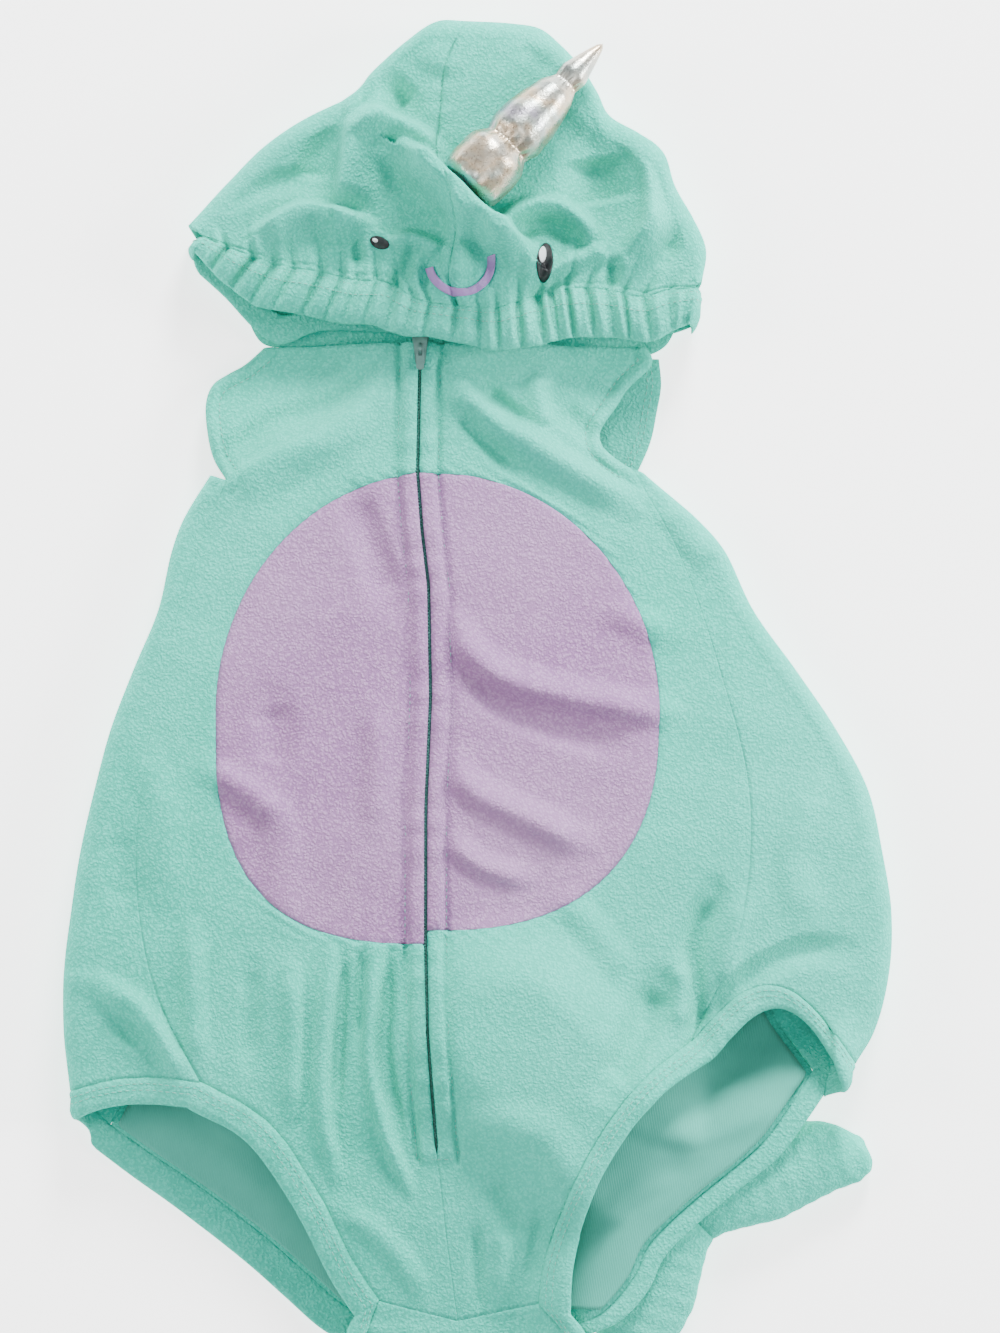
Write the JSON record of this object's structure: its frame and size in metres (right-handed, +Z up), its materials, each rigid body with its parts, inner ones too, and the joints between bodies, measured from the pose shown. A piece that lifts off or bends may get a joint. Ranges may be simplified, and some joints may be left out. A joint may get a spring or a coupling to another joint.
{
  "type": "narwhal costume",
  "caption": "Sleeveless hooded romper costume in fleece, laid flat and face up: zipped front, contrast belly, gathered hood with a stuffed horn, face and tail fluke.",
  "frame": {"origin": "centre of the bounding box, on the surface the costume lies on", "axes": "+Y toward the hood's crown, +X toward the wearer's left side, +Z up out of the front"},
  "size_m": [0.3704, 0.6202, 0.0571],
  "materials": {
    "aqua_fleece": "soft polyester fleece, short curly pile",
    "lilac_fleece": "soft polyester fleece, short curly pile",
    "lining_knit": "fine smooth knit lining",
    "zip_tape": "woven zip tape with a nylon coil",
    "zip_metal": "enamelled zinc, satin",
    "eye_thread": "satin-stitch embroidery",
    "smile_thread": "satin-stitch embroidery",
    "silver_cloth": "metallic foil-coated cloth, stuffed"
  },
  "bodies": {
    "costume": {"front_panel_right": "aqua_fleece", "front_panel_left": "aqua_fleece", "belly_panel_right": "lilac_fleece", "belly_panel_left": "lilac_fleece", "side_panel_right": "aqua_fleece", "side_panel_left": "aqua_fleece", "leg_band_right": "aqua_fleece", "leg_band_left": "aqua_fleece", "back_panel": "aqua_fleece", "back_lining": "lining_knit", "crotch_band": "aqua_fleece", "zip_tape": "zip_tape", "zip_slider": "zip_metal", "hood_panel_right": "aqua_fleece", "hood_panel_left": "aqua_fleece", "hood_casing": "aqua_fleece", "eye_right": "eye_thread", "eye_left": "eye_thread", "smile": "smile_thread", "horn": "silver_cloth", "tail_stem": "aqua_fleece", "tail_fluke_upper": "aqua_fleece", "tail_fluke_lower": "aqua_fleece"},
    "pull_tab": {"zip_pull_tab": "zip_metal"}
  },
  "joints": [
    {"name": "pull_tab_hinge", "type": "hinge", "parent": "costume", "child": "pull_tab", "pos_m": [-0.02602, 0.16048, 0.0192], "axis": [-1, 0, 0], "range_deg": [0, 85]}
  ]
}
